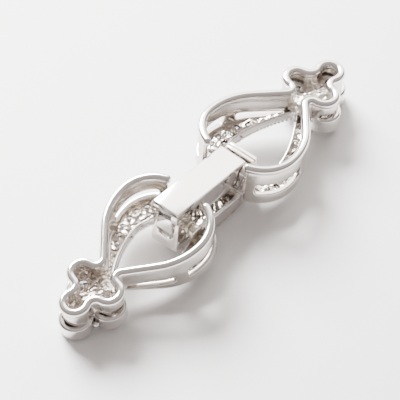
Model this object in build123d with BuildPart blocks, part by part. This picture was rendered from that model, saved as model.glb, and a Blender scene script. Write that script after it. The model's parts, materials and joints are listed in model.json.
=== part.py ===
from build123d import *
from math import asin, atan2, cos, hypot, pi, radians, sin, sqrt
import os

os.makedirs("parts", exist_ok=True)

# Fold-over clasp lying face down: the polished back is up, the set front is down.
# X runs along the clasp from the catch link to the hinge link, Z is up, millimetres.

# Plan of one link, measured to the centre line of its back rail
cup_radius = 1.85
cup_angle = pi / 6
cup_shift = 0.35
cup_fuse = 0.05
rail_inset = 0.55
waist_radius = 1.0
neck_radius = 0.8
neck_half = 1.1
belly_share = 0.884
belly_half = 5.6
belly_reach = 15.3
heel_radius = 4.2
mouth_half = 2.85

# Sections of one link, measured from its rail
rail_radius = 0.45
wall_half = 0.35
cup_depth = 4.4
cup_top = 2.3
cup_bore = 1.45
culet_bore = 1.1
seat_depth = 0.95
neck_depth = 3.0
crown_depth = 4.5
heel_depth = 4.7
band_thickness = 1.0
cup_slot = (4.4, 5.9)
cup_slot_drop = 1.9
cup_slot_height = 0.9
long_slot = (7.9, 11.45)
long_slot_drop = (2.7, 2.8)
long_slot_height = (0.55, 1.0)
heel_slot_share = 0.58
heel_slot_drop = 2.75
heel_slot_height = 1.4
mouth_pillar = 1.0

# Opening of the front band
opening_tip = 7.7
opening_tip_half = 0.4
opening_reach = 14.0
opening_half = 3.1
opening_bow = 0.72
throat_reach = 17.0
throat_half = 2.5

# Box under the lever, measured from the hinge link's tip and rail
box_far = 16.1
hinge_wall = 0.95
hinge_wall_half = 1.8
hinge_wall_top = 1.5
plate_far = 16.6
box_near = 29.05
plate_top = 5.2
plate_half = 2.15
box_near_half = 1.75
plate_low = 7.3
plate_low_reach = 23.5
plate_crown = 26.0
tray_far = 19.4
tray_depth = 0.6
tray_rim = 0.45
post_width = 0.6
post_depth = 0.65
post_top = 2.3
gusset_reach = 2.2
gusset_knee = 0.11
side_bow = 0.065
solder_bar_half = 2.8
solder_bar_top = 4.0

# Lever and its pin
lever_top = 0.6
lever_half = 1.7
lever_gauge = 0.5
lever_near = 29.4
knuckle_radius = 1.15
wall_gap = 0.4
post_gap = 0.15
flange_break = 24.3
flange_shallow = 0.9
flange_depth = 3.4
lug_step = 0.45
lug_drop = 3.05
flange_lug_radius = 0.65
tongue_depth = 4.1
tongue_half = 1.05
tongue_round = 0.5
ear_gap = 0.1
ear_thickness = 0.8
ear_radius = 0.65
pin_radius = 0.35
pin_play = 0.03

# Crossbar of the catch link, held in the box
bar_radius = 0.5
barrel_radius = 0.75
barrel_half = 2.2
bar_reach = 17.3
bar_drop = 2.36
bar_seat_reach = 27.3
bar_seat_drop = 3.6
lug_inner = 2.35
lug_thickness = 0.75
lug_radius = 0.75
catch_yaw = 2.2

# Stones
stone_gap = 0.07
table_recess = 0.1
pave_radius = 0.43
pave_gap = 0.05
pave_pitch = 1.04
pave_seat = 0.42
pave_hole = 0.3
pave_reach = 3.0
table_share = 0.58
crown_share = 0.32
pavilion_share = 0.86
culet_share = 0.08
plate_rows = 3
plate_pitch = 1.15
facets = 8

# Rows of small stones on a link: insets from the rail's line, and starts as shares of the shoulder
pave_insets = (0.95, 1.97)
pave_starts = (0.95, 0.5)

# Overrun of a cutting shape past the metal, and the gap below which two ends meet
overrun = 1.0
meeting = 1e-4

lobe_radius = cup_radius - rail_inset
tip_centre = (cup_radius, 0.0)
side_centre = (cup_radius + 2 * cup_radius * cos(cup_angle), 2 * cup_radius * sin(cup_angle))
cup_places = [(u - cup_shift, v) for u, v in (tip_centre, side_centre, (side_centre[0], -side_centre[1]))]
rim_reach = cup_shift + cup_fuse

# Centre of the arc between two cups, outside both
waist_offset = sqrt((lobe_radius + waist_radius) ** 2 - cup_radius ** 2)
waist_centre = (
    (tip_centre[0] + side_centre[0]) / 2 - waist_offset * sin(cup_angle),
    side_centre[1] / 2 + waist_offset * cos(cup_angle),
)
neck_centre_v = neck_half + neck_radius
neck_centre = (
    side_centre[0] + sqrt((lobe_radius + neck_radius) ** 2 - (neck_centre_v - side_centre[1]) ** 2),
    neck_centre_v,
)
belly_radius = belly_share * (belly_reach - neck_centre[0])
belly_centre = (belly_reach, belly_half - belly_radius)
heel_centre = (belly_reach, belly_half - heel_radius)
run = belly_centre[0] - neck_centre[0]
rise = belly_centre[1] - neck_centre[1]
shoulder = asin((belly_radius + neck_radius) / hypot(run, rise)) - atan2(-rise, run)


def heading(start, end):
    """Angle of the line from one centre to the next."""
    return atan2(end[1] - start[1], end[0] - start[0])


def on_circle(centre, radius, angle):
    """Point of a circle at an angle."""
    return (centre[0] + radius * cos(angle), centre[1] + radius * sin(angle))


def half_arcs(grow):
    """Arcs of half a link, from its tip to its mouth, set off by grow from the rail's line.

    Each row is centre, radius, first angle and last angle.
    """
    tip_to_waist = heading(tip_centre, waist_centre)
    side_to_waist = heading(side_centre, waist_centre)
    side_to_neck = heading(side_centre, neck_centre)
    heel = heel_radius + grow
    mouth = asin((mouth_half - heel_centre[1]) / heel)
    return [
        (tip_centre, lobe_radius + grow, pi, tip_to_waist),
        (waist_centre, waist_radius - grow, tip_to_waist - pi, side_to_waist - pi),
        (side_centre, lobe_radius + grow, side_to_waist, side_to_neck),
        (neck_centre, neck_radius - grow, side_to_neck - pi, shoulder - pi / 2),
        (belly_centre, belly_radius + grow, shoulder + pi / 2, pi / 2),
        (heel_centre, heel, pi / 2, mouth),
    ]


def link_outline(grow):
    """Draws the whole open outline of a link and returns its two ends at the mouth."""
    for side in (1, -1):
        previous = None
        for centre, radius, first, last in half_arcs(grow):
            points = [on_circle(centre, radius, angle) for angle in (first, (first + last) / 2, last)]
            start, middle, end = [(u, v * side) for u, v in points]
            if previous and hypot(start[0] - previous[0], start[1] - previous[1]) > meeting:
                Line(previous, start)
            ThreePointArc(start, middle, end)
            previous = end
    return [(previous[0], -previous[1]), previous]


def side_of(frame):
    """Plane through the axis of a link: its x runs along the link and its y runs up."""
    return Plane(origin=frame.origin, x_dir=frame.x_dir, z_dir=-frame.y_dir)


def front_curve(lift):
    """Front of a link from its tip to its mouth, raised by lift."""
    past = heel_centre[0] + heel_radius + overrun
    break_reach = side_centre[0] + cup_radius
    Line((-overrun, lift - neck_depth), (break_reach, lift - neck_depth))
    ThreePointArc(
        (break_reach, lift - neck_depth),
        ((break_reach + past) / 2, lift - crown_depth),
        (past, lift - heel_depth),
    )
    return past


def front_depth(u):
    """Depth of a link's front below its rail, at a distance from its tip."""
    past = heel_centre[0] + heel_radius + overrun
    break_reach = side_centre[0] + cup_radius
    middle = (break_reach + past) / 2
    share = (u - break_reach) / (middle - break_reach)
    if u <= break_reach:
        return neck_depth
    near = neck_depth * (1 - share) * (2 - share) / 2 + crown_depth * share * (2 - share)
    return near + heel_depth * share * (share - 1) / 2


def heel_slot(side):
    """Draws the plan of the slot that runs round the heel on one side, wider than the wall."""
    start = pi / 2 + asin(heel_slot_share * (belly_reach - long_slot[1]) / belly_radius)
    end = asin((mouth_half - heel_centre[1]) / heel_radius) + mouth_pillar / heel_radius
    ends = []
    for grow in (2 * wall_half, -2 * wall_half):
        points = [
            on_circle(belly_centre, belly_radius + grow, start),
            on_circle(belly_centre, belly_radius + grow, (start + pi / 2) / 2),
            on_circle(belly_centre, belly_radius + grow, pi / 2),
            on_circle(heel_centre, heel_radius + grow, (pi / 2 + end) / 2),
            on_circle(heel_centre, heel_radius + grow, end),
        ]
        points = [(u, v * side) for u, v in points]
        ThreePointArc(*points[:3])
        ThreePointArc(*points[2:])
        ends.append((points[0], points[-1]))
    Line(ends[0][0], ends[1][0])
    Line(ends[0][1], ends[1][1])


def link_wall(frame):
    """Pierced side wall that follows the rail."""
    with BuildPart() as wall:
        with BuildSketch(frame.offset(-heel_depth)):
            with BuildLine():
                outer = link_outline(wall_half)
                inner = link_outline(-wall_half)
                Line(outer[0], inner[0])
                Line(outer[1], inner[1])
            make_face()
        extrude(amount=heel_depth)
        with BuildSketch(side_of(frame)):
            with BuildLine():
                past = front_curve(0)
                Polyline(
                    (past, -heel_depth), (past, overrun), (-overrun, overrun), (-overrun, -neck_depth)
                )
            make_face()
        extrude(amount=2 * belly_half, both=True, mode=Mode.INTERSECT)
        with BuildSketch(side_of(frame)):
            with Locations(((cup_slot[0] + cup_slot[1]) / 2, -cup_slot_drop)):
                SlotCenterToCenter(cup_slot[1] - cup_slot[0], cup_slot_height)
        extrude(amount=2 * belly_half, both=True, mode=Mode.SUBTRACT)
        with BuildSketch(side_of(frame)):
            for reach, drop, height in zip(long_slot, long_slot_drop, long_slot_height):
                with Locations((reach, -drop)):
                    Circle(height / 2)
            make_hull()
        extrude(amount=2 * belly_half, both=True, mode=Mode.SUBTRACT)
        with BuildSketch(frame.offset(-heel_slot_drop - heel_slot_height / 2)):
            with BuildLine():
                heel_slot(1)
            make_face()
            with BuildLine():
                heel_slot(-1)
            make_face()
        extrude(amount=heel_slot_height, mode=Mode.SUBTRACT)
    return wall.part


def link_band(frame):
    """Front band between the wall and the opening, closed round the neck."""
    with BuildPart() as band:
        with BuildSketch(frame.offset(-heel_depth)):
            with BuildLine():
                ends = link_outline(0)
                Line(ends[0], ends[1])
            make_face()
            with BuildLine():
                for side in (1, -1):
                    ThreePointArc(
                        (opening_tip, opening_tip_half * side),
                        ((opening_tip + opening_reach) / 2, opening_half * opening_bow * side),
                        (opening_reach, opening_half * side),
                    )
                    Spline(
                        (opening_reach, opening_half * side),
                        (throat_reach, throat_half * side),
                        tangents=[(1, 0), (1, 0)],
                    )
                    Line((throat_reach, throat_half * side), (2 * belly_reach, throat_half * side))
                Line((opening_tip, opening_tip_half), (opening_tip, -opening_tip_half))
                Line((2 * belly_reach, throat_half), (2 * belly_reach, -throat_half))
            make_face(mode=Mode.SUBTRACT)
        extrude(amount=heel_depth)
        with BuildSketch(side_of(frame)):
            with BuildLine():
                past = front_curve(0)
                front_curve(band_thickness)
                Line((past, -heel_depth), (past, band_thickness - heel_depth))
                Line((-overrun, -neck_depth), (-overrun, band_thickness - neck_depth))
            make_face()
        extrude(amount=2 * belly_half, both=True, mode=Mode.INTERSECT)
        with BuildSketch(side_of(frame)):
            with Locations((side_centre[0], -neck_depth)):
                Rectangle(4 * cup_radius, 4 * neck_depth, align=(Align.MAX, Align.CENTER))
        extrude(amount=2 * belly_half, both=True, mode=Mode.SUBTRACT)
    return band.part


def pave_places():
    """Plan places of the small stones on one arm of a link."""
    places = []
    for inset, start_share in zip(pave_insets, pave_starts):
        last = asin((throat_half + 2 * pave_radius - heel_centre[1]) / (heel_radius - inset))
        arcs = (
            (belly_centre, belly_radius - inset, shoulder * start_share + pi / 2, pi / 2),
            (heel_centre, heel_radius - inset, pi / 2, last),
        )
        lengths = [radius * (first - last) for centre, radius, first, last in arcs]
        count = int(sum(lengths) / pave_pitch)
        for index in range(count + 1):
            along = sum(lengths) * index / count
            centre, radius, first, last = arcs[0] if along < lengths[0] else arcs[1]
            spent = along if along < lengths[0] else along - lengths[0]
            places.append(on_circle(centre, radius, first - spent / radius))
    return places


def drilled_seat(frame, place, depth, reach):
    """Pocket for a small stone in the front, with a hole on to the back."""
    tools = []
    for radius, amount in ((pave_radius + pave_gap, pave_seat), (pave_hole, reach)):
        with BuildSketch(frame.offset(-depth - band_thickness)) as hole:
            with Locations(place):
                RegularPolygon(radius, facets)
        tools.append(extrude(hole.sketch, amount=band_thickness + amount, mode=Mode.PRIVATE))
    return tools


def link_casting(frame):
    """One link: rail, pierced wall, front band and three bezel cups."""
    wall = link_wall(frame)
    band = link_band(frame)
    with BuildPart() as link:
        add(wall)
        add(band)
        with BuildLine(frame) as path:
            link_outline(0)
        with BuildSketch(Plane(path.wire() ^ 0)):
            Circle(rail_radius)
        sweep(path=path.wire())
        for end in (0, 1):
            with Locations(path.wire() @ end):
                Sphere(rail_radius)
        with BuildSketch(frame.offset(-cup_depth)):
            with Locations(*cup_places):
                Circle(cup_radius + cup_fuse)
        extrude(amount=cup_depth - cup_top)
        with BuildSketch(frame.offset(-cup_depth)):
            with Locations(*cup_places):
                Circle(cup_bore)
        extrude(amount=seat_depth, mode=Mode.SUBTRACT)
        with BuildSketch(frame.offset(-cup_depth)):
            with Locations(*cup_places):
                Circle(culet_bore)
        extrude(amount=cup_depth - cup_top + rail_radius, mode=Mode.SUBTRACT)
        seats = []
        for u, v in pave_places():
            for place in ((u, v), (u, -v)):
                seats += drilled_seat(frame, place, front_depth(u), pave_reach)
        add(seats, mode=Mode.SUBTRACT)
    return link.part


def brilliant(girdle):
    """Round cut stone lying on its table: an octagonal table, eight crown and eight pavilion facets."""
    with BuildPart() as stone:
        with BuildSketch(Plane.XY):
            RegularPolygon(girdle * table_share, facets)
        with BuildSketch(Plane.XY.offset(girdle * crown_share)):
            RegularPolygon(girdle, facets)
        loft()
        with BuildSketch(Plane.XY.offset(girdle * crown_share)):
            RegularPolygon(girdle, facets)
        with BuildSketch(Plane.XY.offset(girdle * (crown_share + pavilion_share))):
            RegularPolygon(girdle * culet_share, facets)
        loft()
    return stone.part


def set_down(frame, places):
    """Locations of stones at places of a frame, each a distance from the tip, a side step and a height."""
    return [
        Plane(origin=frame.from_local_coords(place), x_dir=frame.x_dir, z_dir=frame.z_dir).location
        for place in places
    ]


def crown_height(reach):
    """Height of the front of the box's plate, at a distance from the hinge link's tip."""
    return plate_crown - plate_low - sqrt(plate_crown**2 - (reach - plate_low_reach) ** 2)


# The hinge link rests on its tip cup and on the crown of the box's plate
crown_centre = (plate_low_reach + rim_reach, plate_crown - plate_low + cup_depth)
hinge_pitch = asin(plate_crown / hypot(*crown_centre)) - atan2(crown_centre[1], crown_centre[0])
far_x = (-cos(hinge_pitch), 0, sin(hinge_pitch))
far_z = (sin(hinge_pitch), 0, cos(hinge_pitch))

# The catch link rests on its tip cup and hangs by its crossbar in the box
far_lift = cup_depth * cos(hinge_pitch) + rim_reach * sin(hinge_pitch)
bar_lift = far_lift + bar_seat_reach * far_x[2] - bar_seat_drop * far_z[2]
bar_arm = hypot(cup_depth - bar_drop, bar_reach + rim_reach)
catch_pitch = asin(bar_lift / bar_arm) - atan2(cup_depth - bar_drop, bar_reach + rim_reach)
yaw = radians(catch_yaw)
near_x = (cos(catch_pitch) * cos(yaw), -cos(catch_pitch) * sin(yaw), sin(catch_pitch))
near_z = (-sin(catch_pitch) * cos(yaw), sin(catch_pitch) * sin(yaw), cos(catch_pitch))
bar_from_far = bar_seat_reach * far_x[0] - bar_seat_drop * far_z[0]
near_from_bar = [bar_drop * z - bar_reach * x for x, z in zip(near_x, near_z)]
far_origin = (-(bar_from_far + near_from_bar[0]) / 2, 0, far_lift)
far_frame = Plane(origin=far_origin, x_dir=far_x, z_dir=far_z)
bar_place = far_frame.from_local_coords((bar_seat_reach, 0, -bar_seat_drop))
near_origin = [bar + step for bar, step in zip(tuple(bar_place), near_from_bar)]
near_frame = Plane(origin=near_origin, x_dir=near_x, z_dir=near_z)
near_side = side_of(near_frame)
far_side = side_of(far_frame)

pin_place = (box_far + hinge_wall + wall_gap + knuckle_radius, -lever_top - knuckle_radius)
ear_inner = lever_half + ear_gap

plate_columns = int((box_near - plate_far - 2 * pave_pitch) / plate_pitch) + 1
plate_start = (plate_far + box_near - (plate_columns - 1) * plate_pitch) / 2
plate_places = [
    (plate_start + column * plate_pitch, (row - (plate_rows - 1) / 2) * plate_pitch)
    for column in range(plate_columns)
    for row in range(plate_rows)
]

near_casting = link_casting(near_frame)
far_casting = link_casting(far_frame)

# Catch link: the casting with a crossbar between two lugs, thicker where it lies in the box
with BuildPart() as near_link:
    add(near_casting)
    with BuildSketch(near_side):
        with Locations((bar_reach, -bar_drop)):
            Circle(bar_radius)
    extrude(amount=lug_inner + lug_thickness, both=True)
    with BuildSketch(near_side):
        with Locations((bar_reach, -bar_drop)):
            Circle(barrel_radius)
    extrude(amount=barrel_half, both=True)
    for start in (lug_inner, -lug_inner - lug_thickness):
        with BuildSketch(near_side.offset(start)):
            with Locations((bar_reach, -bar_drop)):
                Circle(lug_radius)
                Rectangle(
                    2 * lug_radius, front_depth(bar_reach) - bar_drop - band_thickness / 2,
                    align=(Align.CENTER, Align.MAX),
                )
        extrude(amount=lug_thickness)
near_link.part.label = "near_link"
export_step(near_link.part, "parts/near_link.step")

# Hinge link and box: the second casting, soldered to the box that the lever closes on
with BuildPart() as far_link_and_box:
    with BuildSketch(far_frame.offset(-plate_low)):
        with BuildLine():
            for side in (1, -1):
                Line((plate_far, 0), (plate_far, plate_half * side))
                Line((plate_far, plate_half * side), (flange_break, plate_half * side))
                ThreePointArc(
                    (flange_break, plate_half * side),
                    (
                        (flange_break + box_near) / 2,
                        ((plate_half + box_near_half) / 2 + side_bow) * side,
                    ),
                    (box_near, box_near_half * side),
                )
                Line((box_near, box_near_half * side), (box_near, 0))
        make_face()
    extrude(amount=plate_low - plate_top)
    with BuildSketch(far_side):
        with BuildLine():
            ThreePointArc(
                (plate_far, crown_height(plate_far)),
                (plate_low_reach, -plate_low),
                (box_near, crown_height(box_near)),
            )
            Polyline(
                (box_near, crown_height(box_near)),
                (box_near, 0),
                (plate_far, 0),
                (plate_far, crown_height(plate_far)),
            )
        make_face()
    extrude(amount=2 * plate_half, both=True, mode=Mode.INTERSECT)
    with BuildSketch(far_frame.offset(-plate_top)):
        with Locations((box_near - post_depth, 0)):
            Rectangle(
                box_near - post_depth - tray_far,
                2 * (box_near_half - tray_rim),
                align=(Align.MAX, Align.CENTER),
            )
    extrude(amount=-tray_depth, mode=Mode.SUBTRACT)
    with BuildSketch(far_frame.offset(-plate_top)):
        for side in (1, -1):
            with Locations((box_near - post_depth / 2, (box_near_half - post_width / 2) * side)):
                Rectangle(post_depth, post_width)
    extrude(amount=plate_top - post_top)
    for start in (box_near_half - tray_rim, -box_near_half):
        with BuildSketch(far_side.offset(start)):
            Polygon(
                (box_near, -plate_top),
                (box_near, -post_top),
                (box_near - post_depth, -post_top),
                (box_near - post_depth - gusset_knee, -bar_seat_drop - barrel_radius),
                (box_near - gusset_reach, -plate_top),
                align=None,
            )
        extrude(amount=tray_rim)
    with BuildSketch(far_side):
        with Locations((box_far, -hinge_wall_top)):
            Rectangle(hinge_wall, plate_top - hinge_wall_top, align=(Align.MIN, Align.MAX))
    extrude(amount=hinge_wall_half, both=True)
    with BuildSketch(far_side):
        with Locations((plate_far, -solder_bar_top)):
            Rectangle(
                heel_centre[0] + heel_radius - plate_far, plate_top - solder_bar_top,
                align=(Align.MIN, Align.MAX),
            )
    extrude(amount=solder_bar_half, both=True)
    add(far_casting)
    for start in (ear_inner, -ear_inner - ear_thickness):
        with BuildSketch(far_side.offset(start)):
            with Locations(pin_place):
                Circle(ear_radius)
                Rectangle(2 * ear_radius, plate_top + pin_place[1], align=(Align.CENTER, Align.MAX))
                Circle(pin_radius + pin_play, mode=Mode.SUBTRACT)
        extrude(amount=ear_thickness)
    plate_seats = []
    for reach, v in plate_places:
        plate_seats += drilled_seat(
            far_frame, (reach, v), -crown_height(reach), -crown_height(reach) - plate_top
        )
    add(plate_seats, mode=Mode.SUBTRACT)
far_link_and_box.part.label = "far_link_and_box"
export_step(far_link_and_box.part, "parts/far_link_and_box.step")

# Lever: a folded channel with a rolled knuckle on its pin and a tongue at the catch end
with BuildPart() as lever:
    with BuildSketch(far_side):
        with Locations(pin_place):
            Circle(knuckle_radius)
        Polygon(
            (pin_place[0], -lever_top),
            (lever_near, -lever_top),
            (lever_near, post_gap - post_top),
            (lever_near - lever_gauge, post_gap - post_top),
            (lever_near - lever_gauge, -lever_top - flange_shallow),
            (flange_break + flange_shallow, -lever_top - flange_shallow),
            (flange_break, -flange_depth),
            (pin_place[0], -flange_depth),
            align=None,
        )
        with Locations((pin_place[0] + lug_step, -lug_drop)):
            Circle(flange_lug_radius)
    extrude(amount=lever_half, both=True)
    with BuildSketch(far_side):
        with Locations(pin_place):
            Circle(knuckle_radius - lever_gauge)
        Polygon(
            (pin_place[0], -lever_top - lever_gauge),
            (lever_near - lever_gauge, -lever_top - lever_gauge),
            (lever_near - lever_gauge, -plate_top),
            (pin_place[0], -plate_top),
            align=None,
        )
    extrude(amount=lever_half - lever_gauge, both=True, mode=Mode.SUBTRACT)
    with BuildSketch(Plane(
        origin=far_frame.from_local_coords((lever_near - lever_gauge, 0, -lever_top)),
        x_dir=far_frame.y_dir, z_dir=far_frame.x_dir,
    )):
        with BuildLine():
            lip = lever_top - tongue_depth
            Line((-tongue_half, 0), (tongue_half, 0))
            Line((tongue_half, 0), (tongue_half, lip + tongue_round))
            ThreePointArc(
                (tongue_half, lip + tongue_round), (0, lip), (-tongue_half, lip + tongue_round)
            )
            Line((-tongue_half, lip + tongue_round), (-tongue_half, 0))
        make_face()
    extrude(amount=lever_gauge)
    with BuildSketch(far_side):
        with Locations(pin_place):
            Circle(pin_radius + pin_play)
    extrude(amount=2 * lever_half, both=True, mode=Mode.SUBTRACT)
lever.part.label = "lever"
export_step(lever.part, "parts/lever.step")

# Hinge pin: a plain rod through both ears and the knuckle
with BuildPart() as hinge_pin:
    with BuildSketch(far_side):
        with Locations(pin_place):
            Circle(pin_radius)
    extrude(amount=ear_inner + ear_thickness, both=True)
hinge_pin.part.label = "hinge_pin"
export_step(hinge_pin.part, "parts/hinge_pin.step")

# Stones: one in each cup, and small ones in the bands and the box's plate
large_stone = brilliant(cup_bore - stone_gap)
small_stone = brilliant(pave_radius)
for name, frame in (("near", near_frame), ("far", far_frame)):
    for number, (u, v) in enumerate(cup_places, 1):
        with BuildPart() as cup_stone:
            with Locations(*set_down(frame, [(u, v, table_recess - cup_depth)])):
                add(large_stone)
        cup_stone.part.label = f"{name}_cup_stone_{number}"
        export_step(cup_stone.part, f"parts/{cup_stone.part.label}.step")
    band_places = [
        (u, v * side, table_recess - front_depth(u)) for u, v in pave_places() for side in (1, -1)
    ]
    with BuildPart() as band_stones:
        with Locations(*set_down(frame, band_places)):
            add(small_stone)
    band_stones.part.label = f"{name}_band_stones"
    export_step(band_stones.part, f"parts/{band_stones.part.label}.step")

table_places = [(u, v, table_recess + crown_height(u)) for u, v in plate_places]
with BuildPart() as box_stones:
    with Locations(*set_down(far_frame, table_places)):
        add(small_stone)
box_stones.part.label = "box_stones"
export_step(box_stones.part, "parts/box_stones.step")
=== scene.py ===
import json
from math import asin, atan2, cos, pi, radians, sin, sqrt

import bmesh
import bpy
from mathutils import Matrix, Vector, noise


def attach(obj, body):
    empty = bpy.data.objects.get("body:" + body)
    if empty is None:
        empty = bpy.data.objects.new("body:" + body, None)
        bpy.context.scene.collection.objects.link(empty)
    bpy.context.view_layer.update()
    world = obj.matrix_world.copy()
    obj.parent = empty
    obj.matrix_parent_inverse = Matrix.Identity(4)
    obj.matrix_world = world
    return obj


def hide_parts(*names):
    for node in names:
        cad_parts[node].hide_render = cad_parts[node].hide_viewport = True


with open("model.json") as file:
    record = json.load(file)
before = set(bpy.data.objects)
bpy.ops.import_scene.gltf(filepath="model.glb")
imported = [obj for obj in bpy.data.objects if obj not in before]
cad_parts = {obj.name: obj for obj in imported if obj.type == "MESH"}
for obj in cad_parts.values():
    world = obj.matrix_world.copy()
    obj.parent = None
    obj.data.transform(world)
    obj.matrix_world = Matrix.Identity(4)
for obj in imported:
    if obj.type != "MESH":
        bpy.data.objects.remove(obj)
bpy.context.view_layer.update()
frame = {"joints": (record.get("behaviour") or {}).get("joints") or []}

# Back rails: the polished round edge of each teardrop link, cast with it. A rail runs from its
# round end beside the box, along the belly and neck, round the three lobes over the cups, and back.
# White plating over brass, buffed to a mirror. The near link is the catch's, the far one the hinge's.
mm = 0.001
joints = {joint["name"]: joint for joint in frame["joints"]}
catch_pitch, catch_yaw, hinge_pitch = radians(7.655), radians(2.2), radians(7.439)
bar_reach, bar_drop = 17.3 * mm, 2.36 * mm
pin_reach, pin_drop = 18.6 * mm, 1.75 * mm
# A link's own frame: reach from its tip, side step, and height above the middle of its rail
places = {
    "near": Matrix.Translation(joints["catch_swing"]["pos_m"])
    @ Matrix.Rotation(-catch_yaw, 4, "Z")
    @ Matrix.Rotation(-catch_pitch, 4, "Y")
    @ Matrix.Translation((-bar_reach, 0, bar_drop)),
    "far": Matrix.Translation(joints["lever_hinge"]["pos_m"])
    @ Matrix.Rotation(pi, 4, "Z")
    @ Matrix.Rotation(-hinge_pitch, 4, "Y")
    @ Matrix.Translation((-pin_reach, 0, pin_drop)),
}
bodies = {"near": "catch_link", "far": "hinge_link"}
nodes = {"near": "near_link", "far": "far_link_and_box"}

rail_radius, rail_facets, rail_step = 0.5 * mm, 20, 0.22 * mm
cup_radius, cup_shift = 1.85 * mm, 0.35 * mm
lobe_radius = 1.3 * mm
waist_radius, neck_radius = 1.0 * mm, 0.8 * mm
neck_half = 1.1 * mm
belly_radius, belly_half, belly_reach = 7.2 * mm, 5.6 * mm, 15.3 * mm
heel_radius, mouth_half = 4.2 * mm, 2.85 * mm

tip_centre = Vector((cup_radius, 0))
side_centre = Vector((cup_radius * (1 + sqrt(3)), cup_radius))
outward = Vector((-sin(pi / 6), cos(pi / 6)))
waist_offset = sqrt((lobe_radius + waist_radius) ** 2 - cup_radius**2)
waist_centre = (tip_centre + side_centre) / 2 + waist_offset * outward
neck_v = neck_half + neck_radius
neck_u = side_centre.x + sqrt((lobe_radius + neck_radius) ** 2 - (neck_v - side_centre.y) ** 2)
neck_centre = Vector((neck_u, neck_v))
belly_centre = Vector((belly_reach, belly_half - belly_radius))
heel_centre = Vector((belly_reach, belly_half - heel_radius))
span = belly_centre - neck_centre
shoulder = asin((belly_radius + neck_radius) / span.length) - atan2(-span.y, span.x)


def heading(start, end):
    """Angle of the line from one place to another."""
    return atan2(end.y - start.y, end.x - start.x)


# Each arc of half a rail, from the tip to the mouth: centre, radius, bulge, first and last angle
half_arcs = [
    (tip_centre, lobe_radius, 1, pi, heading(tip_centre, waist_centre)),
    (
        waist_centre, waist_radius, -1,
        heading(tip_centre, waist_centre) - pi, heading(side_centre, waist_centre) - pi,
    ),
    (
        side_centre, lobe_radius, 1,
        heading(side_centre, waist_centre), heading(side_centre, neck_centre),
    ),
    (neck_centre, neck_radius, -1, heading(side_centre, neck_centre) - pi, shoulder - pi / 2),
    (belly_centre, belly_radius, 1, shoulder + pi / 2, pi / 2),
    (heel_centre, heel_radius, 1, pi / 2, asin((mouth_half - heel_centre.y) / heel_radius)),
]
arc_lengths = [radius * abs(last - first) for centre, radius, bulge, first, last in half_arcs]
neck_arc = 3


def on_arc(arc, share, grow=0):
    """Point of an arc of the outline, set off outwards by grow."""
    centre, radius, bulge, first, last = arc
    angle = first + (last - first) * share
    return centre + (radius + bulge * grow) * Vector((cos(angle), sin(angle)))


# The neck runs straight from its own arc to the belly's
straight = (on_arc(half_arcs[neck_arc + 1], 0) - on_arc(half_arcs[neck_arc], 1)).length
half_length = sum(arc_lengths) + straight


def outline(distance, grow=0):
    """Point of half a link's outline at a distance from the tip, set off outwards by grow."""
    for index, arc in enumerate(half_arcs):
        if distance <= arc_lengths[index] or index == len(half_arcs) - 1:
            return on_arc(arc, distance / arc_lengths[index], grow)
        distance -= arc_lengths[index]
        if index == neck_arc:
            if distance <= straight:
                start, end = on_arc(arc, 1, grow), on_arc(half_arcs[index + 1], 0, grow)
                return start.lerp(end, distance / straight)
            distance -= straight


# Painted shade for tight hollows: how far the test for enclosing surfaces reaches, and its brown
# colour. Then the roughness range of the patches.
painted_shade_reach, painted_shade_tone, gloss_shares = 1.2 * mm, (0.30, 0.245, 0.20, 1), (0.6, 1.5)


def metal(name, tint, shade, roughness, patches, ripples, ripple_depth, hollow_painted_shade=0.0):
    """Plated metal: tint and roughness vary in patches, the surface ripples a little, and tight
    hollows may be darkened with painted shade."""
    material = bpy.data.materials.new(name)
    material.use_nodes = True
    tree = material.node_tree
    shader = tree.nodes["Principled BSDF"]
    shader.inputs["Metallic"].default_value = 1
    where = tree.nodes.new("ShaderNodeTexCoord")
    patch, ripple = (tree.nodes.new("ShaderNodeTexNoise") for texture in range(2))
    for texture, scale, detail in ((patch, patches, 4), (ripple, ripples, 3)):
        texture.inputs["Scale"].default_value = scale
        texture.inputs["Detail"].default_value = detail
        tree.links.new(where.outputs["Object"], texture.inputs["Vector"])
    colour = tree.nodes.new("ShaderNodeMix")
    colour.data_type = "RGBA"
    colour.inputs["A"].default_value = (*tint, 1)
    colour.inputs["B"].default_value = (*shade, 1)
    tree.links.new(patch.outputs["Fac"], colour.inputs["Factor"])
    tone = colour.outputs["Result"]
    # Painted shade: where other surfaces close in, the base colour is mixed towards a dark brown.
    if hollow_painted_shade:
        shelter = tree.nodes.new("ShaderNodeAmbientOcclusion")
        shelter.inputs["Distance"].default_value = painted_shade_reach
        shelter.samples = 6
        openness = tree.nodes.new("ShaderNodeMapRange")
        openness.inputs["To Min"].default_value = 1 - hollow_painted_shade
        tree.links.new(shelter.outputs["AO"], openness.inputs["Value"])
        dark = tree.nodes.new("ShaderNodeMix")
        dark.data_type = "RGBA"
        dark.inputs["A"].default_value = painted_shade_tone
        tree.links.new(openness.outputs["Result"], dark.inputs["Factor"])
        tree.links.new(tone, dark.inputs["B"])
        tone = dark.outputs["Result"]
    tree.links.new(tone, shader.inputs["Base Color"])
    gloss = tree.nodes.new("ShaderNodeMapRange")
    for end, share in zip(("To Min", "To Max"), gloss_shares):
        gloss.inputs[end].default_value = roughness * share
    tree.links.new(patch.outputs["Fac"], gloss.inputs["Value"])
    tree.links.new(gloss.outputs["Result"], shader.inputs["Roughness"])
    relief = tree.nodes.new("ShaderNodeBump")
    relief.inputs["Strength"].default_value = 1
    relief.inputs["Distance"].default_value = ripple_depth
    tree.links.new(ripple.outputs["Fac"], relief.inputs["Height"])
    tree.links.new(relief.outputs["Normal"], shader.inputs["Normal"])
    return material


polished = metal(
    "polished_plating", tint=(0.80, 0.775, 0.755), shade=(0.72, 0.69, 0.665), roughness=0.14,
    patches=260, ripples=700, ripple_depth=0.006 * mm,
)


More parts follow.
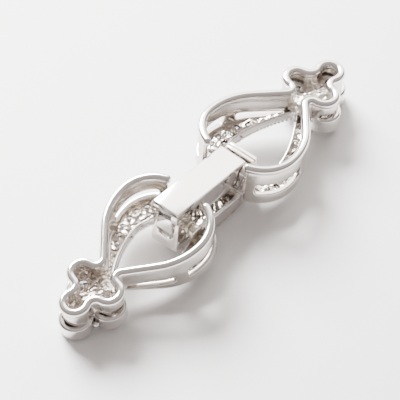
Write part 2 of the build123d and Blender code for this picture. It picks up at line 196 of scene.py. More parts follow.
def finished(name, bm, side, material, smooth=35, body=None, node=None):
    """Puts a finished mesh in its place on a link, or on a body that turns on the link."""
    body, node = body or bodies[side], node or nodes[side]
    bm.transform(places[side])
    mesh = bpy.data.meshes.new(name)
    bm.to_mesh(mesh)
    bm.free()
    piece = bpy.data.objects.new(name, mesh)
    bpy.context.scene.collection.objects.link(piece)
    mesh.materials.append(material)
    mesh.shade_smooth()
    mesh.set_sharp_from_angle(angle=radians(smooth))
    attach(piece, body)
    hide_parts(node)
    return piece


def edges_of(geometry):
    """The edges among the geometry that an operator returns."""
    return [item for item in geometry if isinstance(item, bmesh.types.BMEdge)]


def once(items):
    """The items, each once and in their order."""
    return list(dict.fromkeys(items))


def back_rail():
    """One rail, swept from the mouth round the tip and back to the mouth."""
    bm = bmesh.new()
    heel = half_arcs[-1]
    start, start_angle = on_arc(heel, 1), heel[-1]
    along = Vector((sin(start_angle), -cos(start_angle), 0))
    section = bmesh.ops.create_circle(bm, segments=rail_facets, radius=rail_radius)["verts"]
    turn = Vector((0, 0, 1)).rotation_difference(along).to_matrix().to_4x4()
    bmesh.ops.transform(bm, matrix=Matrix.Translation((*start, 0)) @ turn, verts=section)
    edges = list(bm.edges)
    bmesh.ops.contextual_create(bm, geom=edges)
    pieces = list(enumerate(half_arcs))
    route = [(index, arc, 1) for index, arc in reversed(pieces)]
    route += [(index, arc, -1) for index, arc in pieces]
    for index, (centre, radius, bulge, first, last), side in route:
        if index == neck_arc and side == 1 or index == neck_arc + 1 and side == -1:
            step = on_arc(half_arcs[neck_arc], 1) - on_arc(half_arcs[neck_arc + 1], 0)
            if side == -1:
                step = Vector((-step.x, step.y))
            edges = edges_of(bmesh.ops.extrude_edge_only(bm, edges=edges)["geom"])
            ring = once(vert for edge in edges for vert in edge.verts if len(vert.link_faces) <= 2)
            edges = [edge for edge in edges if all(vert in ring for vert in edge.verts)]
            bmesh.ops.translate(bm, verts=ring, vec=(*step, 0))
        swung = bmesh.ops.spin(
            bm, geom=edges, cent=(centre.x, centre.y * side, 0), axis=(0, 0, 1),
            angle=first - last, steps=max(4, int(radius * abs(last - first) / rail_step)),
        )["geom_last"]
        edges = edges_of(swung)
    bmesh.ops.contextual_create(bm, geom=edges)
    for hand in (1, -1):
        bmesh.ops.create_uvsphere(
            bm, u_segments=rail_facets, v_segments=12, radius=rail_radius,
            matrix=Matrix.Translation((start.x, start.y * hand, 0)),
        )
    bmesh.ops.remove_doubles(bm, verts=bm.verts, dist=0.001 * mm)
    bmesh.ops.recalc_face_normals(bm, faces=bm.faces)
    return bm


for side in places:
    finished(f"{side}_rail", back_rail(), side, polished)

# Pierced side walls: cast in one with the rail, from the rail down to the set front. Long slots
# with round ends lighten the wall beside the opening, and short ones pass the strands at the cups.
wall_thickness, wall_lip, wall_column, wall_rows = 0.6 * mm, 0.1 * mm, 0.2 * mm, 6
neck_depth, crown_depth, heel_depth = 3.0 * mm, 4.5 * mm, 4.7 * mm
break_reach = side_centre.x + cup_radius
past_reach = belly_reach + heel_radius + 1 * mm
closed_half = 0.02 * mm
# The cup slot's ends lie this far before the end of the side lobe
cup_slot_before, cup_slot_drop, cup_slot_half = (3.05 * mm, 0.45 * mm), 1.9 * mm, 0.45 * mm
long_slot, long_slot_drops = (7.9 * mm, 11.45 * mm), (2.7 * mm, 2.8 * mm)
long_slot_halves = (0.275 * mm, 0.5 * mm)
heel_slot_start, heel_slot_drop, heel_slot_half = 13.07 * mm, 2.75 * mm, 0.7 * mm
mouth_pillar, slot_corner = 1.0 * mm, 0.2 * mm


def front_depth(reach):
    """Depth of a link's front below its rail: level at the cups, then a curve through the depths
    at the neck, the crown and the heel."""
    if reach <= break_reach:
        return neck_depth
    share = (reach - break_reach) / ((past_reach - break_reach) / 2)
    shoulder_part = neck_depth * (1 - share) * (2 - share) / 2
    return shoulder_part + crown_depth * share * (2 - share) + heel_depth * share * (share - 1) / 2


def distance_to(reach, after, step=0.01 * mm):
    """Distance along the outline, past a given one, at which it is as far along as reach."""
    return next(
        count * step for count in range(int(after / step), int(half_length / step))
        if outline(count * step).x >= reach
    )


lobe_end = sum(arc_lengths[:neck_arc])
# Each slot: distance along the outline of both ends, drops and half heights there, end rounding
slots = [
    (
        [lobe_end - before for before in cup_slot_before], (cup_slot_drop, cup_slot_drop),
        (cup_slot_half, cup_slot_half), cup_slot_half,
    ),
    (
        [
            distance_to(long_slot[0] - long_slot_halves[0], lobe_end),
            distance_to(long_slot[1] + long_slot_halves[1], lobe_end),
        ],
        long_slot_drops, long_slot_halves, long_slot_halves[0],
    ),
    (
        [distance_to(heel_slot_start, lobe_end), half_length - mouth_pillar],
        (heel_slot_drop, heel_slot_drop), (heel_slot_half, heel_slot_half), slot_corner,
    ),
]


def slot_at(distance):
    """Drop and half height of the slot nearest a place along the outline."""
    nearest, half = cup_slot_drop, closed_half
    for (first, last), drops, halves, corner in slots:
        share = min(max((distance - first) / (last - first), 0), 1)
        inside = min(distance - first, last - distance)
        if distance > first - mouth_pillar / 2:
            nearest = drops[0] + (drops[1] - drops[0]) * share
        if inside > 0:
            half = halves[0] + (halves[1] - halves[0]) * share
            if inside < corner:
                half -= corner - sqrt(corner**2 - (corner - inside) ** 2)
            half = max(half, closed_half)
    return nearest, half


def drop_loose_edges(bm):
    """Deletes the edges that belong to no face."""
    bmesh.ops.delete(bm, geom=[edge for edge in bm.edges if not edge.link_faces], context="EDGES")


def link_wall():
    """One wall as a sheet that follows the outline, with its slots left out."""
    bm = bmesh.new()
    columns = int(2 * half_length / wall_column)
    bmesh.ops.create_grid(bm, x_segments=columns, y_segments=wall_rows, size=1)
    spots = {}
    for vert in bm.verts:
        side = 1 if vert.co.x >= 0 else -1
        distance = abs(vert.co.x) * half_length
        place = outline(distance)
        drop, half = slot_at(distance)
        front = front_depth(place.x)
        depths = (
            wall_lip, drop - half - wall_lip, drop - half,
            drop + half, drop + half + wall_lip, front - wall_lip, front,
        )
        row = round((vert.co.y + 1) / 2 * wall_rows)
        spots[vert.index] = (row, half)
        vert.co = (place.x, place.y * side, -depths[row])
    open_faces = [
        face for face in bm.faces
        if {spots[vert.index][0] for vert in face.verts} == {2, 3}
        and min(spots[vert.index][1] for vert in face.verts) > closed_half
    ]
    bmesh.ops.delete(bm, geom=open_faces, context="FACES_ONLY")
    drop_loose_edges(bm)
    return bm


def thickened(piece, thickness, offset=0.0, levels=1):
    """Gives a sheet its thickness and soft cast edges."""
    shell = piece.modifiers.new("thickness", "SOLIDIFY")
    shell.thickness, shell.offset = thickness, offset
    rounding = piece.modifiers.new("rounding", "SUBSURF")
    rounding.levels = rounding.render_levels = levels


# The walls are cast in one with the rail, but take a darker, warmer copy of its plating: painted shade.
shaded_wall_plating = metal(
    "shaded_wall_plating", tint=(0.68, 0.645, 0.61), shade=(0.58, 0.54, 0.50), roughness=0.16,
    patches=300, ripples=600, ripple_depth=0.008 * mm,
)
for side in places:
    wall = finished(f"{side}_wall", link_wall(), side, shaded_wall_plating)
    thickened(wall, wall_thickness, levels=2)

# Front bands: the cast plate that carries the small stones, between the wall and the opening.
# Its back is left as cast, with a drilled hole behind each stone, and catches the light unevenly.
# The opening's own edge is polished.
band_thickness, band_columns, band_rows = 0.55 * mm, 150, 26
# The band starts here, past the share of the outline that bends round the tip's lobe
band_start, tip_share = 5.9 * mm, 0.3
opening_tip, opening_tip_half = 7.7 * mm, 0.4 * mm
opening_reach, opening_half, opening_bow = 14.0 * mm, 3.1 * mm, 0.72
throat_reach, throat_half = 17.0 * mm, 2.5 * mm
mouth_reach = outline(half_length).x
rim_columns, rim_rows, rim_crowding = 220, 4, 1.5
rim_height, rim_thickness, rim_end_gap = 1.15 * mm, 0.3 * mm, 0.3 * mm
hole_radius, hole_share = 0.36 * mm, 0.92
band_hole_snap, band_hole_swell = 0.13 * mm, 0.12 * mm
# Where the metal swells round a drilled hole, in hole radii: reach, crest and width
swell_reach, swell_crest, swell_width = 1.7, 1.2, 0.5
uneven_pitch, uneven_height = 0.55 * mm, 0.18 * mm
pave_radius, pave_pitch = 0.43 * mm, 1.04 * mm
# Each row of small stones: inset from the rail's line, and start as a share of the shoulder
pave_rows = [(0.95 * mm, 0.95), (1.97 * mm, 0.5)]

# Both links have the same casting. The near back is painted darker and browner (painted shade) and the
# far back lighter (painted light). Both also get painted shade in their hollows.
shaded_and_lit_cast_backs = {
    "near": metal(
        "near_cast_back_shaded", tint=(0.82, 0.76, 0.70), shade=(0.34, 0.28, 0.235), roughness=0.15,
        patches=1100, ripples=2400, ripple_depth=0.11 * mm, hollow_painted_shade=0.65,
    ),
    "far": metal(
        "far_cast_back_lit", tint=(0.84, 0.80, 0.76), shade=(0.48, 0.42, 0.37), roughness=0.17,
        patches=1100, ripples=2400, ripple_depth=0.1 * mm, hollow_painted_shade=0.4,
    ),
}


def opening(reach):
    """Half width of the opening in the front: a round point, a bowed flank, and an easing in to
    the throat."""
    if reach < opening_tip:
        inside = 1 - ((opening_tip - reach) / opening_tip_half) ** 2
        return opening_tip_half * sqrt(inside) if inside > 0 else 0
    if reach < opening_reach:
        share = (reach - opening_tip) / (opening_reach - opening_tip)
        middle = opening_half * opening_bow
        ends = opening_tip_half * (1 - share) * (1 - 2 * share) + opening_half * share * (2 * share - 1)
        return ends + 4 * middle * share * (1 - share)
    share = min((reach - opening_reach) / (throat_reach - opening_reach), 1)
    return opening_half + (throat_half - opening_half) * share**2 * (3 - 2 * share)


def pave_places():
    """Places of the small stones on one arm, and the direction of their row there."""
    found = []
    for inset, start_share in pave_rows:
        last = asin((throat_half + 2 * pave_radius - heel_centre.y) / (heel_radius - inset))
        arcs = (
            (belly_centre, belly_radius - inset, shoulder * start_share + pi / 2, pi / 2),
            (heel_centre, heel_radius - inset, pi / 2, last),
        )
        lengths = [radius * (first - end) for centre, radius, first, end in arcs]
        count = int(sum(lengths) / pave_pitch)
        for index in range(count + 1):
            along = sum(lengths) * index / count
            late = along >= lengths[0]
            centre, radius, first, end = arcs[late]
            angle = first - (along - lengths[0] * late) / radius
            found.append((centre + radius * Vector((cos(angle), sin(angle))), angle))
    return found


stones_of_arm = pave_places()
arm_holes = [stone for stone, angle in stones_of_arm]


def drilled(place, holes, snap, swell):
    """Moves a place near the edge of a hole onto it, and gives the metal's swell there."""
    lift = 0.0
    for hole in holes:
        away = place - hole
        if away.length < swell_reach * hole_radius:
            if abs(away.length - hole_radius) < snap:
                place = hole + away.normalized() * hole_radius
            lift = max(lift, swell * (1 - abs(away.length / hole_radius - swell_crest) / swell_width))
    return place, lift


def cut_holes(bm, holes):
    """Deletes the faces over the holes, and over their mirror images on the other side."""
    over_holes = []
    for face in bm.faces:
        middle = face.calc_center_median()
        middle = Vector((middle.x, abs(middle.y)))
        if any((middle - hole).length < hole_share * hole_radius for hole in holes):
            over_holes.append(face)
    bmesh.ops.delete(bm, geom=over_holes, context="FACES")


def front_band():
    """Both arms of one band as a sheet, with a hole behind each stone."""
    bm = bmesh.new()
    start = distance_to(band_start, tip_share * half_length, half_length / 1000)
    for side in (1, -1):
        sheet = bmesh.ops.create_grid(bm, x_segments=band_columns, y_segments=band_rows, size=1)
        for vert in sheet["verts"]:
            along, across = (vert.co.x + 1) / 2, (vert.co.y + 1) / 2
            outer = outline(start + (half_length - start) * along)
            reach = band_start + (mouth_reach - band_start) * along
            inner = Vector((reach, opening(reach)))
            place, lift = drilled(outer.lerp(inner, across), arm_holes, band_hole_snap, band_hole_swell)
            inland = min(1, 6 * across, 6 * (1 - across), 8 * (1 - along))
            spot = Vector((place.x, place.y * side, 0))
            lift += inland * uneven_height * noise.noise(spot / uneven_pitch)
            vert.co = (*spot.xy, band_thickness - front_depth(place.x) + lift)
    bmesh.ops.remove_doubles(bm, verts=bm.verts, dist=0.004 * mm)
    cut_holes(bm, arm_holes)
    bmesh.ops.recalc_face_normals(bm, faces=bm.faces)
    if sum(face.normal.z for face in bm.faces) < 0:
        bmesh.ops.reverse_faces(bm, faces=bm.faces)
    return bm


def opening_rim():
    """Polished wall round the opening, as a sheet from the front to just above the band's back.
    Its columns crowd together at the opening's point."""
    bm = bmesh.new()
    bmesh.ops.create_grid(bm, x_segments=rim_columns, y_segments=rim_rows, size=1)
    point = opening_tip - opening_tip_half
    for vert in bm.verts:
        side = 1 if vert.co.x >= 0 else -1
        reach = point + (mouth_reach - rim_end_gap - point) * abs(vert.co.x) ** rim_crowding
        rise = (vert.co.y + 1) / 2 * rim_height
        vert.co = (reach, opening(reach) * side, rise - front_depth(reach))
    bmesh.ops.remove_doubles(bm, verts=bm.verts, dist=0.002 * mm)
    return bm


for side in places:
    band = finished(f"{side}_band", front_band(), side, shaded_and_lit_cast_backs[side])
    thickened(band, band_thickness, offset=-1.0)
    rim = finished(f"{side}_opening_rim", opening_rim(), side, polished)
    thickened(rim, rim_thickness)

# Bezel cups: three round cups at each tip, cast with the link, their lips rounded, with a small
# cast bead in each outer hollow between them. Over them, inside the rail's lobes, the casting is
# hollow and rough, with a funnel down to each stone.
cup_places = [
    Vector((centre.x - cup_shift, centre.y))
    for centre in (tip_centre, side_centre, Vector((side_centre.x, -side_centre.y)))
]
cup_outer, cup_bore, cup_lip = 1.88 * mm, 1.45 * mm, 0.35 * mm
cup_chamfer, cup_shelf = 0.2 * mm, 0.5 * mm
cup_top, cup_depth, seat_depth = 2.25 * mm, 4.4 * mm, 0.95 * mm
hollow_bead, hollow_bead_step, hollow_bead_share = 0.32 * mm, 1.25 * mm, 0.72
stone_window, window_snap = 0.48 * mm, 0.06 * mm
funnel_radius, funnel_dip = 1.4 * mm, 0.4 * mm
floor_drop, neck_sink, floor_thickness = 1.5 * mm, 0.75 * mm, 0.15 * mm
floor_reach, floor_half, floor_columns, floor_rows = 7.9 * mm, 3.3 * mm, 80, 66
floor_past_lobe, floor_inset, hem_steps = 1.6 * mm, 0.15 * mm, 90
floor_pitch = 0.45 * mm


def lathed(bm, profile, centre, steps=48, rounding=0.08 * mm):
    """Adds a turned shape: its profile is (radius, height) points round the axis at centre."""
    verts = [bm.verts.new((centre.x + radius, centre.y, height)) for radius, height in profile]
    for index, vert in enumerate(verts):
        bm.edges.new((verts[index - 1], vert))
    bmesh.ops.bevel(
        bm, geom=verts, affect="VERTICES", offset=rounding, segments=3, profile=0.5, material=-1,
        clamp_overlap=True,
    )
    loop = [edge for edge in bm.edges if not edge.link_faces]
    bmesh.ops.spin(
        bm, geom=loop, cent=(centre.x, centre.y, 0), axis=(0, 0, 1), angle=2 * pi, steps=steps,
        use_merge=True,
    )


def bead(bm, place, radius):
    """Adds a small round bead."""
    bmesh.ops.create_icosphere(bm, subdivisions=2, radius=radius, matrix=Matrix.Translation(place))


def bezel_cups():
    """The three cups of a link, with a bead in each outer hollow between them."""
    bm = bmesh.new()
    lip = [
        (cup_outer - cup_lip * (1 - cos(angle)), cup_lip * (1 - sin(angle)) - cup_depth)
        for angle in (step * pi / 8 for step in range(4, -1, -1))
    ]
    for centre in cup_places:
        lathed(bm, lip + [
            (cup_outer, -cup_top - cup_chamfer), (cup_outer - cup_chamfer, -cup_top),
            (cup_outer - cup_shelf, -cup_top), (cup_bore, seat_depth - cup_depth),
            (cup_bore, -cup_depth),
        ], centre)
    for hand, side_cup in ((1, cup_places[1]), (-1, cup_places[2])):
        between = (cup_places[0] + side_cup) / 2
        between += hollow_bead_step * Vector((outward.x, outward.y * hand))
        bead(bm, (between.x, between.y, -hollow_bead_share * cup_depth), hollow_bead)
    bmesh.ops.recalc_face_normals(bm, faces=bm.faces)
    return bm


def cup_floor():
    """The cast hollow inside the three lobes: a sheet that dips to a hole behind each stone."""
    hem = [
        outline((lobe_end + floor_past_lobe) * step / hem_steps, -floor_inset)
        for step in range(hem_steps + 1)
    ]
    hem += [Vector((place.x, -place.y)) for place in reversed(hem)]
    bm = bmesh.new()
    bmesh.ops.create_grid(bm, x_segments=floor_columns, y_segments=floor_rows, size=1)
    for vert in bm.verts:
        place = Vector(((vert.co.x + 1) / 2 * floor_reach, vert.co.y * floor_half))
        dip = 0.0
        for centre in cup_places:
            away = place - centre
            if away.length < funnel_radius:
                if abs(away.length - stone_window) < window_snap:
                    place = centre + away.normalized() * stone_window
                dip = funnel_dip * (1 - (away.length / funnel_radius) ** 2)
        dip -= uneven_height * noise.noise(Vector((*place, 0)) / floor_pitch)
        sink = neck_sink * max(0, (place.x - side_centre.x) / (floor_reach - side_centre.x)) ** 2
        vert.co = (place.x, place.y, -floor_drop - sink - dip)
    left_out = []
    for face in bm.faces:
        middle = face.calc_center_median().xy
        crossings = sum(
            (first.y > middle.y) != (last.y > middle.y)
            and middle.x < first.x + (last.x - first.x) * (middle.y - first.y) / (last.y - first.y)
            for first, last in zip(hem, hem[1:] + hem[:1])
        )
        over_stone = any((middle - centre).length < stone_window for centre in cup_places)
        if crossings % 2 == 0 or over_stone:
            left_out.append(face)
    bmesh.ops.delete(bm, geom=left_out, context="FACES")
    return bm


# Both links have the same casting. The near cups' hollow is painted darker and browner (painted shade)
# and the far one's lighter (painted light). Both get painted shade in their hollows, the near one more.
shaded_and_lit_tip_castings = {
    "near": metal(
        "near_tip_casting_shaded", tint=(0.86, 0.80, 0.74), shade=(0.40, 0.33, 0.28), roughness=0.16,
        patches=900, ripples=2200, ripple_depth=0.11 * mm, hollow_painted_shade=0.5,
    ),
    "far": metal(
        "far_tip_casting_lit", tint=(0.92, 0.89, 0.85), shade=(0.60, 0.53, 0.46), roughness=0.3,
        patches=900, ripples=1900, ripple_depth=0.08 * mm, hollow_painted_shade=0.1,
    ),
}
for side in places:
    finished(f"{side}_cups", bezel_cups(), side, polished, 50)
    hollow = finished(f"{side}_cup_floor", cup_floor(), side, shaded_and_lit_tip_castings[side], 60)
    thickened(hollow, floor_thickness)

# Large stones: one round brilliant in each cup, table down, with star, kite and girdle facets.
# Clear cut cubic zirconia with bright foil behind it, held by the bezel's lip.
large_girdle, table_recess = 1.38 * mm, 0.1 * mm
table_share, crown_share, pavilion_share, girdle_share, culet_share = 0.58, 0.32, 0.86, 0.04, 0.03
# The crown's and the pavilion's middle corners, as shares of the girdle: radius and height
kite_corner, pavilion_corner = (0.83, 0.17), (0.5, 0.47)


def cut_stone(name, tint, foil):
    """Clear, strongly refracting cut stone, with a share of bright foil behind its facets."""
    material = bpy.data.materials.new(name)
    material.use_nodes = True
    shader = material.node_tree.nodes["Principled BSDF"]
    shader.inputs["Base Color"].default_value = (*tint, 1)
    shader.inputs["Roughness"].default_value = 0.0
    shader.inputs["IOR"].default_value = 2.15
    shader.inputs["Transmission Weight"].default_value = 1
    shader.inputs["Metallic"].default_value = foil
    return material


foiled = cut_stone("foiled_stone", (0.97, 0.965, 0.96), 0.55)


def brilliant(bm, girdle, place):
    """Adds a brilliant that lies on its table at place."""
    # Each ring of corners: radius, height, count and turn
    rings = [
        (girdle * table_share, 0, 8, 0),
        (girdle * kite_corner[0], girdle * kite_corner[1], 8, pi / 8),
        (girdle, girdle * crown_share, 16, 0),
        (girdle, girdle * (crown_share + girdle_share), 16, 0),
        (girdle * pavilion_corner[0], girdle * (crown_share + pavilion_corner[1]), 8, pi / 8),
        (girdle * culet_share, girdle * (crown_share + pavilion_share), 8, pi / 8),
    ]
    verts = []
    for radius, height, count, turn in rings:
        ring = bmesh.ops.create_circle(bm, segments=count, radius=radius)["verts"]
        bmesh.ops.rotate(bm, verts=ring, matrix=Matrix.Rotation(turn, 3, "Z"))
        bmesh.ops.translate(bm, verts=ring, vec=(0, 0, height))
        verts += ring
    bmesh.ops.convex_hull(bm, input=verts)
    bmesh.ops.translate(bm, verts=verts, vec=place)


for side in places:
    for number, centre in enumerate(cup_places, 1):
        bm = bmesh.new()
        brilliant(bm, large_girdle, (centre.x, centre.y, table_recess - cup_depth))
        drop_loose_edges(bm)
        bmesh.ops.dissolve_limit(bm, angle_limit=radians(0.5), verts=bm.verts, edges=bm.edges)
        finished(
            f"{side}_large_stone_{number}", bm, side, foiled, 5,
            node=f"{side}_cup_stone_{number}",
        )

# Small stones: round cut stones in the bands, each in its drilled seat between four cast beads
# that are pushed over its edge. A row of larger beads runs along both edges of a band.
seat_bead, seat_bead_turn, seat_bead_step, seat_bead_rise = 0.13 * mm, 0.75, 0.53 * mm, 0.02 * mm
edge_bead, edge_pitch, edge_bead_rise = 0.22 * mm, 0.5 * mm, 0.08 * mm
edge_start = lobe_end + 1.2 * mm
edge_outset, edge_inset, edge_end_gap = 0.1 * mm, 0.05 * mm, 1.2 * mm

clear = cut_stone("clear_stone", (0.97, 0.97, 0.975), 0.15)
for side in places:
    stones, beads = bmesh.new(), bmesh.new()
    for stone, angle in stones_of_arm:
        for hand in (1, -1):
            depth = table_recess - front_depth(stone.x)
            brilliant(stones, pave_radius, (stone.x, stone.y * hand, depth))
            for turn in (-seat_bead_turn, seat_bead_turn, pi - seat_bead_turn, pi + seat_bead_turn):
                spot = stone + seat_bead_step * Vector((cos(angle + turn), sin(angle + turn)))
                bead(beads, (spot.x, spot.y * hand, seat_bead_rise - front_depth(spot.x)), seat_bead)
    steps = int((half_length - edge_start) / edge_pitch)
    for step in range(steps + 1):
        outer = outline(edge_start + step * edge_pitch, edge_outset)
        reach = opening_tip + (mouth_reach - edge_end_gap - opening_tip) * step / steps
        inner = Vector((reach, opening(reach) - edge_inset))
        for hand in (1, -1):
            for spot in (outer, inner):
                bead(beads, (spot.x, spot.y * hand, edge_bead_rise - front_depth(spot.x)), edge_bead)
    drop_loose_edges(stones)
    finished(
        f"{side}_small_stones", stones, side, clear, 5,
        node=f"{side}_band_stones",
    )
    finished(f"{side}_beads", beads, side, polished)

# Crossbar: a round barrel on a thinner bar between two lugs of the catch link, which drops into
# the box. Cast with the link, left rough, and worn by the box.
lug_inner, lug_thickness, lug_radius, lug_rounding = 2.35 * mm, 0.75 * mm, 0.75 * mm, 0.22 * mm
bar_radius, barrel_radius, barrel_half, barrel_rounding = 0.5 * mm, 0.75 * mm, 2.2 * mm, 0.2 * mm
long_edge, long_edge_cuts = 0.8 * mm, 16
wear_pitch, wear_depth = 0.7 * mm, 0.05 * mm


def verts_of(geometry):
    """The vertices among the geometry that an operator returns."""
    return [item for item in geometry if isinstance(item, bmesh.types.BMVert)]


def slab(bm, points, low, high, rounding=0.08 * mm, crosswise=False):
    """Adds a plate with rounded edges: an outline of (reach, height) points between two side steps,
    or crosswise of (side step, height) points between two reaches."""
    flat = [(low, first, height) if crosswise else (first, low, height) for first, height in points]
    verts = [bm.verts.new(place) for place in flat]
    face = bm.faces.new(verts)
    raised = verts_of(bmesh.ops.extrude_face_region(bm, geom=[face])["geom"])
    through = (high - low, 0, 0) if crosswise else (0, high - low, 0)
    bmesh.ops.translate(bm, verts=raised, vec=through)
    edges = once(edge for vert in verts + raised for edge in vert.link_edges)
    faces = once(face for edge in edges for face in edge.link_faces)
    bmesh.ops.recalc_face_normals(bm, faces=faces)
    bmesh.ops.bevel(
        bm, geom=edges, affect="EDGES", offset=rounding, segments=3, profile=0.5, material=-1,
        clamp_overlap=True,
    )


def rod(bm, reach, height, radius, low, high, rounding=0.1 * mm, segments=32):
    """Adds a round bar across the clasp, with rounded ends."""
    turn = Matrix.Translation((reach, (low + high) / 2, height)) @ Matrix.Rotation(pi / 2, 4, "X")
    made = bmesh.ops.create_cone(
        bm, cap_ends=True, segments=segments, radius1=radius, radius2=radius, depth=high - low,
        matrix=turn,
    )["verts"]
    ends = [
        edge for edge in once(edge for vert in made for edge in vert.link_edges)
        if len(edge.link_faces) == 2 and max(len(face.verts) for face in edge.link_faces) > 4
    ]
    bmesh.ops.bevel(
        bm, geom=ends, affect="EDGES", offset=rounding, segments=3, profile=0.5, material=-1,
        clamp_overlap=True,
    )


def round_top(reach, height, radius):
    """Outline points of the round top of an ear or lug, over its hole."""
    angles = [step * pi / 8 for step in range(9)]
    return [(reach + radius * cos(angle), height + radius * sin(angle)) for angle in angles]


# Worn, brass-coloured casting, whose hollows are darkened with painted shade.
worn_and_shaded = metal(
    "worn_and_shaded_casting", tint=(0.86, 0.82, 0.74), shade=(0.66, 0.60, 0.50), roughness=0.24,
    patches=700, ripples=1500, ripple_depth=0.05 * mm, hollow_painted_shade=0.5,
)
bm = bmesh.new()
bar_half = lug_inner + lug_thickness / 2
rod(bm, bar_reach, -bar_drop, bar_radius, -bar_half, bar_half)
rod(bm, bar_reach, -bar_drop, barrel_radius, -barrel_half, barrel_half, barrel_rounding, 48)
long_edges = [edge for edge in bm.edges if edge.calc_length() > long_edge]
bmesh.ops.subdivide_edges(bm, edges=long_edges, cuts=long_edge_cuts)
for vert in bm.verts:
    vert.co += wear_depth * noise.noise_vector(vert.co / wear_pitch)
finished("crossbar", bm, "near", worn_and_shaded)

bm = bmesh.new()
foot = front_depth(bar_reach) - band_thickness / 2
lug_outline = round_top(bar_reach, -bar_drop, lug_radius)
lug_outline += [(bar_reach - lug_radius, -foot), (bar_reach + lug_radius, -foot)]
for low in (lug_inner, -lug_inner - lug_thickness):
    slab(bm, lug_outline, low, low + lug_thickness, lug_rounding)
# The lugs take the worn casting too, so painted shade darkens them where they sit close to the link and
# the bar.
finished("crossbar_lugs", bm, "near", worn_and_shaded, 60)

# Box: an open tray with a curved front plate, soldered to the hinge link, that the crossbar drops
# into. A frame with two posts and gussets guides the bar at the catch end, and a grooved wall and
# two ears carry the hinge. Its side walls carry a rounded bar.
plate_far, box_near, plate_top = 16.6 * mm, 29.05 * mm, 5.2 * mm
plate_half, box_near_half, flange_break, box_bow = 2.15 * mm, 1.75 * mm, 24.3 * mm, 1.4
plate_low, plate_low_reach, plate_crown = 7.3 * mm, 23.5 * mm, 26.0 * mm
plate_floor, plate_rows, plate_pitch = 0.6 * mm, 3, 1.15 * mm
plate_end_gap, plate_side_gap = 0.2 * mm, 0.1 * mm
plate_hole_snap, plate_hole_swell = 0.1 * mm, 0.1 * mm
side_wall, side_inset, side_short = 0.45 * mm, 0.2 * mm, 0.25 * mm
side_bar, bar_inset, bar_short = 0.27 * mm, 0.3 * mm, 0.5 * mm
post_width, post_depth, post_top = 0.6 * mm, 0.65 * mm, 2.3 * mm
frame_foot, frame_corner, frame_share, frame_rounding = 0.5 * mm, 0.75 * mm, 0.55, 0.1 * mm
gusset_reach, gusset_foot, gusset_knee, gusset_knee_drop = 2.2 * mm, 0.5 * mm, 0.11 * mm, 4.2 * mm
end_wall_steps, end_wall_rise = (0.72 * mm, 0.42 * mm), 0.1 * mm
box_far, hinge_wall_half, hinge_wall_top = 16.1 * mm, 1.8 * mm, 1.5 * mm
# The hinge wall's two ribs: start, width and drop, past the wall's own
hinge_ribs = ((0, 0.5 * mm, 0), (0.5 * mm, 0.45 * mm, 0.06 * mm))
lever_half, ear_gap, ear_thickness, ear_radius = 1.7 * mm, 0.1 * mm, 0.8 * mm, 0.65 * mm
solder_bar_half, solder_bar_top = 2.8 * mm, 4.0 * mm
tucked = 0.02 * mm


def crown_height(reach):
    """Height of the front of the box's plate."""
    return plate_crown - plate_low - sqrt(plate_crown**2 - (reach - plate_low_reach) ** 2)


def box_half(reach):
    """Half width of the box: straight, then bowed in to its catch end."""
    share = max(0, (reach - flange_break) / (box_near - flange_break))
    return plate_half + (box_near_half - plate_half) * share**box_bow


columns = int((box_near - plate_far - 2 * pave_pitch) / plate_pitch) + 1
first_column = (plate_far + box_near - (columns - 1) * plate_pitch) / 2
plate_places = [
    Vector((first_column + column * plate_pitch, (row - (plate_rows - 1) / 2) * plate_pitch))
    for column in range(columns) for row in range(plate_rows)
]


def box_plate():
    """The curved front plate as a sheet with a hole behind each stone."""
    bm = bmesh.new()
    bmesh.ops.create_grid(bm, x_segments=110, y_segments=34, size=1)
    for vert in bm.verts:
        reach = plate_far + (box_near - plate_end_gap - plate_far) * (vert.co.x + 1) / 2
        place = Vector((reach, vert.co.y * (box_half(reach) - plate_side_gap)))
        place, lift = drilled(place, plate_places, plate_hole_snap, plate_hole_swell)
        inland = min(1, 5 * (1 - abs(vert.co.x)), 5 * (1 - abs(vert.co.y)))
        lift += inland * uneven_height * noise.noise(Vector((*place, 0)) / uneven_pitch)
        vert.co = (place.x, place.y, crown_height(reach) + plate_floor + lift)
    cut_holes(bm, plate_places)
    return bm


def box_sides():
    """Both side walls of the box, bowed in towards the catch end, as sheets."""
    bm = bmesh.new()
    for hand in (1, -1):
        for vert in bmesh.ops.create_grid(bm, x_segments=60, y_segments=5, size=1)["verts"]:
            along, rise = (vert.co.x + 1) / 2, (vert.co.y + 1) / 2
            reach = plate_far + side_inset + (box_near - plate_far - side_short) * along
            low = crown_height(reach)
            step = hand * (box_half(reach) - side_wall / 2)
            vert.co = (reach, step, low + rise * (-plate_top - low))
    return bm


def side_bars():
    """The rounded bar along the top of each side wall of the box."""
    bm = bmesh.new()
    for hand in (1, -1):
        for vert in bmesh.ops.create_grid(bm, x_segments=50, y_segments=20, size=1)["verts"]:
            along, turn = (vert.co.x + 1) / 2, pi * vert.co.y
            reach = plate_far + bar_inset + (box_near - plate_far - bar_short) * along
            middle = hand * (box_half(reach) - side_wall / 2)
            vert.co = (reach, middle + side_bar * cos(turn), side_bar * sin(turn) - plate_top)
    bmesh.ops.remove_doubles(bm, verts=bm.verts, dist=0.002 * mm)
    bmesh.ops.holes_fill(bm, edges=[edge for edge in bm.edges if edge.is_boundary])
    bmesh.ops.recalc_face_normals(bm, faces=bm.faces)
    return bm


